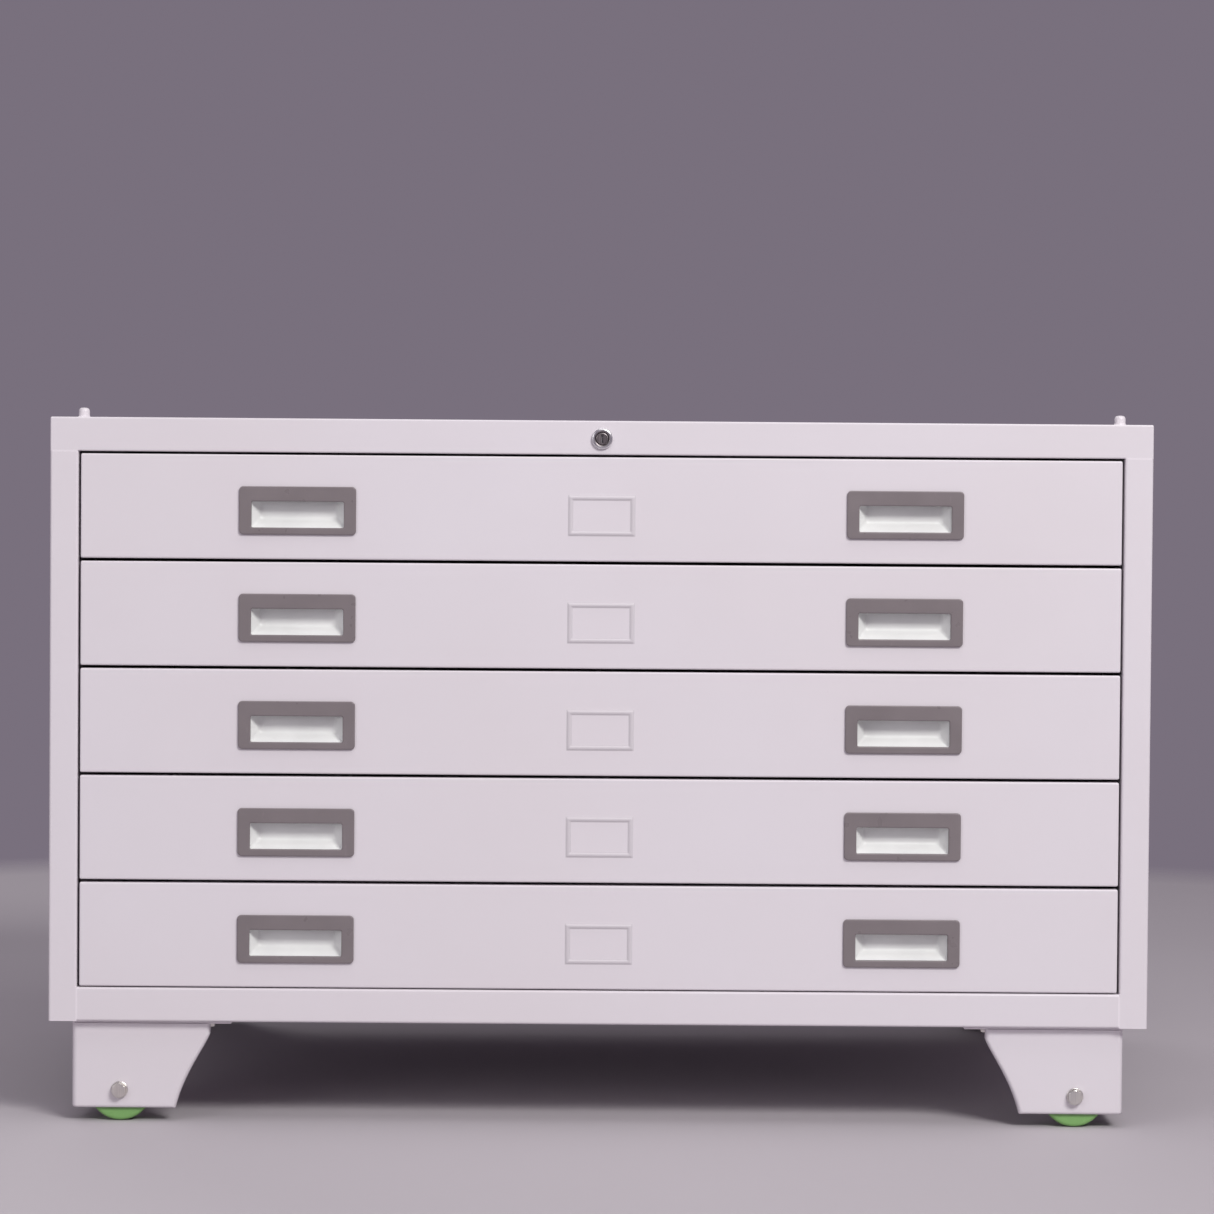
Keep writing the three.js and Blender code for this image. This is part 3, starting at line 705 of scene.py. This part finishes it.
def wheel(corner):
    """A green tyre on a pale hub with a metal bearing."""
    low, high = box_mm(f"wheel_{corner}")
    centre = (low + high) / 2
    centre[2] = AXLE_Z
    half = (high[1] - low[1]) / 2
    shape = Shape()

    def ring(profile, segments, slot, middle=()):
        """A closed ring, the same on both sides. profile is (radius, depth below the wheel's face)."""
        near = [(r, half - deep) for r, deep in profile]
        line = near + list(middle) + [(r, -h) for r, h in reversed(near)]
        turned(shape, line + [line[0]], centre, "Y", segments, slot=slot, cap=(False, False))

    flank = [(16.0, 1.9), (16.6, 1.0), (17.8, 0.4), (20.0, 0.15), (28.2, 0)]
    tread = [(29.9, 0.35), (31.0, 1.3), (31.6, 2.8), (31.85, 4.6), (31.95, 8)]
    ring(flank + tread, 96, 0, [(WHEEL_RADIUS, 0)])
    disc = [(8.2, 1.2), (9.0, 0.2), (10.5, 0), (12.0, 0.3), (12.6, 1.4)]
    disc += [(13.4, 3.0), (15.2, 3.2), (15.8, 2.4), (16.1, 1.8)]
    ring(disc, 72, 1)
    race = [(4.45, 0.6), (5.2, 0.5), (5.5, 0.9), (7.2, 1.3), (7.6, 0.6), (8.25, 0.7)]
    ring(race, 48, 2)
    obj = shape.make(f"wheel_turned_{corner}", [GREEN, HUB, ZINC], f"wheel_{corner}", "green_tyre", 50)
    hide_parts(f"wheel_{corner}")


def axle_bolt(corner, sy):
    """A hexagon bolt with a washer, its shank, its thread and the nut behind the wheel."""
    low, high = box_mm(f"axle_bolt_{corner}")
    x = (low[0] + high[0]) / 2
    face = (low[1] if sy < 0 else high[1]) - sy * 6.6  # the leg's face, under the washer
    shape = Shape()
    seat = (x, face, AXLE_Z)
    turned(shape, [(8.1, -0.1), (8.5, 0.1), (8.5, 1.3), (8.1, 1.55), (6.5, 1.6)], seat, "Y", 40, sy)
    turned(shape, [(6.6, 1.5), (6.6, 2.0), (6.1, 2.1)], seat, "Y", 40, sy)
    head = [(0.96, 1.9), (1, 2.2), (1, 5.9), (0.95, 6.25), (0.88, 6.5), (0.8, 6.6)]
    hexagon(shape, 13, head, seat, "Y", sy)
    inner = high[1] if sy < 0 else low[1]
    turned(shape, [(4, 0), (4, 34)], seat, "Y", 24, -sy)
    thread = []
    for k in range(8):
        thread += [(4.0, k * 1.25), (3.45, k * 1.25 + 0.62)]
    thread += [(3.9, 10), (3.2, 10.9)]
    turned(shape, thread, (x, inner + sy * 11.0, AXLE_Z), "Y", 24, -sy)
    hexagon(shape, 13, [(0.9, 0), (1, 0.4), (1, 6.2), (0.9, 6.6)], (x, inner + sy * 9.6, AXLE_Z), "Y", -sy)
    obj = shape.make(f"axle_fixing_{corner}", BOLT_ZINC, "cabinet", "zinc", 30)
    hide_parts(f"axle_bolt_{corner}")


for name, sx, sy in CORNERS:
    leg(name, sx, sy)
    wheel(name)
    axle_bolt(name, sy)

# ---------------------------------------------------------------- cam lock

lock_low, lock_high = box_mm("lock_housing")
LOCK = (0, FRONT, (lock_low[2] + lock_high[2]) / 2)


def lock():
    """The cam lock: a bright ring, a plug with its keyway, and the cam on the plug's inner end."""
    housing = Shape()
    bore = [(6.4, -19.2), (6.4, 2.2), (6.6, 2.75), (7.1, 3.05)]
    rim = [(7.8, 3.2), (8.6, 3.3), (9.5, 3.2), (10.1, 2.8), (10.45, 2.1), (10.5, 1.2), (10.5, 0.35)]
    ring = bore + rim + [(8.0, 0.3), (8.0, -19.2)]
    # The bore takes slot 1, the dark metal: painted shade inside the ring.
    kinds = [1] * len(bore) + [0] * (len(ring) - len(bore))
    turned(housing, ring + [ring[0]], LOCK, "Y", 72, -1, slots=kinds, cap=(False, False))
    obj = housing.make("lock_ring", [CHROME, LOCK_PAINTED_DARK], "cabinet", "chrome", 40)
    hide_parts("lock_housing")

    plug = Shape()
    segments = 64
    turns = [2 * math.pi * (k + 0.5) / segments for k in range(segments)]

    def circle(radius, deep):
        return [(radius * math.cos(t), FRONT + deep, LOCK[2] + radius * math.sin(t)) for t in turns]

    def slot_line(half_width, half_height, deep):
        row = []
        for t in turns:
            reach = min(half_width / max(1e-6, abs(math.cos(t))), half_height / max(1e-6, abs(math.sin(t))))
            row.append((reach * math.cos(t), FRONT + deep, LOCK[2] + reach * math.sin(t)))
        return row

    rows = [circle(6.0, 19.3), circle(6.0, -3.2), circle(5.75, -3.6), circle(5.3, -3.8), circle(4.9, -3.8)]
    rows += [circle(4.6, -3.45), slot_line(0.95, 4.1, -3.45)]
    rows += [slot_line(0.8, 3.95, -3.2), slot_line(0.8, 3.95, 0.2)]
    # The keyway's walls and bottom take slot 1, the black: painted shade.
    tube(plug, rows, cap=(True, False), slots=[0] * 7 + [1])
    plug.add(rows[-1], [tuple(range(segments))], 1)
    turned(plug, [(3.4, 18), (3.4, 25.6), (3.0, 26.2)], LOCK, "Y", 32, 1)
    hexagon(plug, 9.7, [(0.93, 22.2), (1, 22.5), (1, 24.8), (0.92, 25.1)], LOCK, "Y", 1)
    obj = plug.make("lock_plug_turned", [LOCK_PAINTED_DARK, KEYWAY_SHADE], "lock", "chrome", 30)
    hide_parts("lock_plug")

    cam = Shape()
    half, reach = 6.5, 29
    outline = [(-half * math.sin(a), half * math.cos(a)) for a in np.linspace(0, math.pi, 17)]
    tip = [(reach - 3, -4.5), (reach - 1.2, -4.0), (reach, -2.5)]
    outline += tip + [(u, -v) for u, v in reversed(tip)]
    middle = np.mean(outline, axis=0)

    def plate_edge(shrink, deep):
        """The cam's outline, shrunk towards its middle."""
        row = []
        for point in outline:
            u, v = point + (middle - point) / np.linalg.norm(middle - point) * shrink
            row.append((u, FRONT + deep, LOCK[2] + v))
        return row

    edges = ((0.4, 19.8), (0.1, 19.95), (0, 20.2), (0, 21.4), (0.1, 21.65), (0.4, 21.8))
    tube(cam, [plate_edge(shrink, deep) for shrink, deep in edges])
    obj = cam.make("lock_cam_plate", ZINC, "lock", "zinc", 30)
    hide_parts("lock_cam")


lock()

# ---------------------------------------------------------------- slides

SLIDE_Z = 40
OUTER_START, OUTER_END = FRONT + 25, FRONT + 725
MIDDLE_START, MIDDLE_END = FRONT + 28, FRONT + 718
INNER_START, INNER_END = FRONT + 25, FRONT + 719
CAGE_LENGTH = 120
BALL_PITCH = 17


def lipped(shape, side, outer_face, depth, half, lip, middle, start, end):
    """A channel open towards the drawer, with its lips turned in."""
    web = side * (OPENING - outer_face - MID)
    mouth = side * (OPENING - outer_face - depth + MID)
    line = [(mouth, half - lip), (mouth, half - MID), (web, half - MID)]
    line += [(u, -v) for u, v in reversed(line)]
    folded(shape, [(u, middle + v) for u, v in line], "Y", start, end, radius=1.5, steps=3)


def slide(n, side_name, side):
    """The slide's fixed channel with its rivets, and the moving channel with its balls in their cages."""
    middle = FACE_LOW[n] + SLIDE_Z
    fixed = Shape()
    sizes = {"outer_face": 0.3, "depth": 12.4, "half": 22.5, "lip": 5}
    lipped(fixed, side, **sizes, middle=middle, start=OUTER_START, end=OUTER_END)
    for y in POSTS:
        for dz in (-7, 7):
            at = (side * (OPENING - 1.5), y + 4 * np.sign(dz), middle + dz)
            turned(fixed, [(3.4, 0), (3.3, 0.4), (2.5, 0.9), (1.4, 1.1), (0.02, 1.1)], at, "X", 20, -side)
    obj = fixed.make(f"slide_fixed_{n}_{side_name}", ZINC, "cabinet", "zinc", 30)
    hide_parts(f"slide_outer_{n}_{side_name}")

    moving = Shape()
    sizes = {"outer_face": 3.6, "depth": 8, "half": 15.5, "lip": 3.6}
    lipped(moving, side, **sizes, middle=middle, start=MIDDLE_START, end=MIDDLE_END)
    x = side * (OPENING - 6.2)
    for start in (MIDDLE_START + 6, MIDDLE_END - CAGE_LENGTH - 10):
        for up in (-1, 1):
            cage_low = (x - 1.9, start, middle + up * 16.0)
            cage_high = (x + 1.9, start + CAGE_LENGTH, middle + up * 16.9)
            rounded_box(moving, cage_low, cage_high, 0.3, 1, 1)
            for k in range(7):
                ball(moving, (x, start + 9 + BALL_PITCH * k, middle + up * 18.35), 2.35, 2)
    obj = moving.make(f"slide_moving_{n}_{side_name}", [ZINC, ZINC, BALL_STEEL], f"slide_{n}", "zinc", 30)
    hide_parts(f"slide_middle_{n}_{side_name}")


for n in DRAWERS:
    for side_name, side in SIDES:
        slide(n, side_name, side)

# ---------------------------------------------------------------- drawers

FRONT_DEPTH = 18
TRAY_HALF = OPENING - 14
TRAY_FRONT = FRONT + FRONT_DEPTH + 0.3
TRAY_BACK = BACK - 30
TRAY_LOW = 6  # above the lower edge of the drawer's front
TRAY_HIGH = 80
PULL_X = 303
PULL_Z = FACE_HEIGHT / 2 - 3.5
LABEL_Z = FACE_HEIGHT / 2 - 6.5


def tray(n):
    """A tray with its inner slide channels and rivets. The top drawer's has the catch for the lock too."""
    z = FACE_LOW[n]
    low, high = z + TRAY_LOW, z + TRAY_HIGH
    shape = Shape()

    def wall(outside):
        """The section of a wall whose outer face is that far from the tray's middle."""
        rim, foot = high - MID, low + MID
        return [(outside + 8, rim), (outside - MID, rim), (outside - MID, foot), (outside - 14, foot)]

    for side in (-1, 1):
        section = [(side * u, v) for u, v in wall(TRAY_HALF)]
        folded(shape, section, "Y", TRAY_FRONT + 0.2, TRAY_BACK - 0.2)
    folded(shape, wall(TRAY_BACK), "X", -TRAY_HALF + 0.4, TRAY_HALF - 0.4)
    front_low = (-TRAY_HALF + 1, TRAY_FRONT + 0.1, low)
    front_high = (TRAY_HALF - 1, TRAY_FRONT + 3, high)
    rounded_box(shape, front_low, front_high, 1.2, 3)
    floor_start = (-TRAY_HALF + 1.1, TRAY_FRONT + 1, low + 2)
    floor_end = (TRAY_HALF - 1.1, TRAY_BACK - 1, low + 3.2)
    rounded_box(shape, floor_start, floor_end, 0.4, 1)
    if n == 1:
        back = FRONT + 27 - MID
        catch = [(TRAY_FRONT + 1, high - MID), (back, high - MID), (back, z + 98)]
        folded(shape, catch, "X", -12, 26)
    obj = shape.make(f"tray_folded_{n}", PAINT_INSIDE, f"drawer_{n}", "white_paint", 30)
    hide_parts(f"drawer_{n}_tray")

    inner = Shape()
    middle = z + SLIDE_Z
    for side in (-1, 1):
        web, lip = side * (TRAY_HALF + 0.65), side * (TRAY_HALF + 6)
        line = [(lip, middle + 9.9), (web, middle + 9.9), (web, middle - 9.9), (lip, middle - 9.9)]
        folded(inner, line, "Y", INNER_START, INNER_END, radius=1.5, steps=3)
    inner.make(f"slide_inner_{n}", ZINC, f"drawer_{n}", "zinc", 30)

    studs = Shape()
    for side in (-1, 1):
        for y in (TRAY_FRONT + 60, 0, TRAY_BACK - 60):
            rivet(studs, (side * (TRAY_HALF - SHEET + 0.05), y, middle), "X", -side, 3.6)
    for x in (-TRAY_HALF + 40, -PULL_X - 80, -PULL_X + 80, PULL_X - 80, PULL_X + 80, TRAY_HALF - 40):
        for dz in (20, 68):
            rivet(studs, (x, TRAY_FRONT + 2.95, z + dz), "Y", 1, 3.4)
    studs.make(f"tray_rivets_{n}", ZINC, f"drawer_{n}", "zinc")


HOLDER_HALF = (33.75, 20.5)
HOLDER_RIM = 5.5
HOLDER_RISE = 1.0


def drawer_front(n):
    """A folded pan: face, four returns, lips at top and bottom, pull cut-outs and pressed card holder."""
    z0, high = FACE_LOW[n], FACE_HEIGHT
    slopes = [0, 0.6, 1.5, 2.2]
    mould = slopes + [HOLDER_RIM - s for s in reversed(slopes)]

    def lines(half):
        near = [half - m for m in mould]
        return sorted([-v for v in near] + near)

    cuts_x = [PULL_X - 48.4, PULL_X + 48.4]
    cuts_z = [PULL_Z - 19.4, PULL_Z + 20.4]
    columns = sorted([-FACE_HALF, FACE_HALF, *cuts_x, *[-c for c in cuts_x], *lines(HOLDER_HALF[0])])
    rows = sorted([0, high, *cuts_z, *[LABEL_Z + v for v in lines(HOLDER_HALF[1])]])

    def rise(u, v):
        inside = min(HOLDER_HALF[0] - abs(u), HOLDER_HALF[1] - abs(v - LABEL_Z))
        t = min(inside, HOLDER_RIM - inside) / slopes[-1]
        t = min(1.0, max(0.0, t))
        return HOLDER_RISE * t * t * (3 - 2 * t)

    def in_cut(u, v):
        return cuts_x[0] < abs(u) < cuts_x[1] and cuts_z[0] < v < cuts_z[1]

    shape = Shape()
    points, faces = grid_shell(columns, rows, lambda u, v: (u, FRONT - rise(u, v), z0 + v), in_cut)
    # Faces on the card holder's rim take slot 1, the darker paint: painted shade.
    kinds = []
    for face in faces:
        u, _, v = np.mean([points[i] for i in face], axis=0)
        inside = min(HOLDER_HALF[0] - abs(u), HOLDER_HALF[1] - abs(v - z0 - LABEL_Z))
        kinds.append(1 if -0.01 < inside < HOLDER_RIM else 0)
    shape.add(points, faces, kinds)
    deep = FRONT + FRONT_DEPTH
    for v, lip in ((0, 8), (high, high - 8)):
        shape.add(*grid_shell(columns, [FRONT, deep], lambda u, w: (u, w, z0 + v)))
        shape.add(*grid_shell(columns, sorted([v, lip]), lambda u, w: (u, deep, z0 + w)))
    for u in (-FACE_HALF, FACE_HALF):
        ends = [0, *[r for r in rows if 0 < r < high], high]
        shape.add(*grid_shell(ends, [FRONT, deep], lambda v, w: (u, w, z0 + v)))
    obj = shell(f"front_pan_{n}", shape.points, shape.faces, [PAINT, PAINT_RIM_SHADE], f"drawer_{n}", SHEET, 1.8,
                shape.slots)
    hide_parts(f"drawer_{n}_front")


def pull(n, side_name, side):
    """A flush pull: a grey bezel over the cut-out and a pale tapered pocket behind it."""
    x, z = side * PULL_X, FACE_LOW[n] + PULL_Z
    back = FRONT - 0.3
    front = back - 2.5

    def loop(left, right, low, high, radius, y):
        return rounded_rectangle(x + left, x + right, z + low, z + high, radius, y)

    def outer(shrink, y):
        return loop(-58.25 + shrink, 58.25 - shrink, -24 + shrink, 24 - shrink, 4 - shrink * 0.6, y)

    def window(grow, y, top=9.0):
        return loop(-46 - grow, 46 + grow, -17 - grow, top + grow, 1.6 + grow, y)

    bezel = Shape()
    rows = [outer(0.25, back), outer(0, back - 0.3), outer(0, back - 1.5), outer(0.15, back - 2.0),
            outer(0.6, back - 2.38), outer(1.2, front), window(1.5, front), window(0.75, front + 0.12),
            window(0.2, front + 0.5), window(0, front + 1.1), window(0, back + 1.6),
            window(0.2, back + 1.8), window(2.0, back + 1.8), window(2.0, back), outer(0.25, back)]
    tube(bezel, rows, cap=(False, False))
    obj = bezel.make(f"pull_bezel_{n}_{side_name}", GREY, f"drawer_{n}", "grey_plastic", 60)
    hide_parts(f"drawer_{n}_pull_{side_name}")

    def taper(y, grow, share):
        """The pocket's section, from its mouth (share 0) to its deepest (share 1)."""
        left = -46 + 8 * share - grow
        low = -17 + 9 * share - grow
        high = 18 - 3 * share + grow
        return loop(left, -left, low, high, 2.2 + 1.2 * share, y)

    mouth, end = back + 1.8, back + 13.8
    cup = Shape()
    outside = [taper(end + 1.8, 0.6, 1), taper(end + 1.2, 1.5, 1)]
    outside += [taper(end, 1.8, 0.97), taper(back + 0.1, 1.8, 0)]
    inside = [taper(back + 0.1, 0.0, 0), taper(mouth, 0.0, 0), taper(end - 1.6, 0, 0.86)]
    inside += [taper(end - 0.8, -0.15, 0.94), taper(end - 0.2, -0.9, 0.99), taper(end, -2.4, 1)]
    tube(cup, outside + inside)
    cup.make(f"pull_cup_{n}_{side_name}", CUP, f"drawer_{n}", "grey_plastic", 60)


for n in DRAWERS:
    tray(n)
    drawer_front(n)
    for side_name, side in SIDES:
        pull(n, side_name, side)

# ---------------------------------------------------------------- floor, light and camera

scene = bpy.context.scene
scene.view_settings.view_transform = "Standard"


def matte(name, colour, roughness, reach):
    """A pale floor that ends at a distance from the middle, so that it has no horizon."""
    m = Nodes(name)
    tint = m.ramp(m.noise(1.3, 3), (0.3, tinted(colour, 0.985)), (0.7, tinted(colour, 1.012)))
    away = m.add("ShaderNodeVectorMath", {0: m.place}, operation="LENGTH").outputs["Value"]
    share = m.add("ShaderNodeMath", {0: away, 1: 2.0 * reach}, operation="DIVIDE").outputs["Value"]
    return m.finish(
        Base_Color=tint,
        Roughness=roughness,
        Normal=m.bump(m.noise(180, 3), 0.05, 0.0005),
        Alpha=m.ramp(share, (0.47, 1.0), (0.53, 0.0)),
    )


def plane(name, corners, material):
    mesh = bpy.data.meshes.new(name)
    mesh.from_pydata(corners, [], [(0, 1, 2, 3)])
    mesh.materials.append(material)
    obj = bpy.data.objects.new(name, mesh)
    scene.collection.objects.link(obj)


FLOOR_COLOUR = (0.485, 0.452, 0.480)
floor_corners = [(-14, -14, 0), (14, -14, 0), (14, 14, 0), (-14, 14, 0)]
plane("floor", floor_corners, matte("floor", FLOOR_COLOUR, 0.75, 2.45))


def area_light(name, place, target, size, power, colour=(1, 1, 1)):
    light = bpy.data.lights.new(name, "AREA")
    light.shape = "RECTANGLE"
    light.size, light.size_y = size
    light.energy = power
    light.color = colour
    obj = bpy.data.objects.new(name, light)
    scene.collection.objects.link(obj)
    obj.location = place
    obj.rotation_euler = (Vector(target) - Vector(place)).to_track_quat("-Z", "Y").to_euler()


area_light("key", (2.2, -4.3, 3.7), (0, -0.38, 0.38), (2.0, 1.4), 223, (1.0, 0.99, 0.965))
area_light("fill", (-2.6, -3.4, 1.5), (0, -0.38, 0.4), (2.0, 1.6), 24)
area_light("overhead", (0.2, -1.3, 3.6), (0, -0.5, 0), (2.6, 1.6), 30)
area_light("rear", (-2.0, 4.2, 3.1), (0, 0.38, 0.35), (2.4, 1.8), 35, (1.0, 0.985, 0.97))

world = bpy.data.worlds.new("room")
scene.world = world
world.use_nodes = True
background = world.node_tree.nodes["Background"]
background.inputs["Color"].default_value = (0.190, 0.162, 0.205, 1)
background.inputs["Strength"].default_value = 1.0


def rotation(degrees, axis):
    return Matrix.Rotation(math.radians(degrees), 4, axis)


camera = bpy.data.objects.new("camera", bpy.data.cameras.new("camera"))
scene.collection.objects.link(camera)
scene.camera = camera
camera.data.sensor_width = 36
camera.data.lens = 112.99
camera.location = (-0.0047, -4.18, 0.6278)
heading, pitch, twist = rotation(-0.161, "Z"), rotation(90 - 1.619, "X"), rotation(0.442, "Z")
camera.rotation_euler = (heading @ pitch @ twist).to_euler()
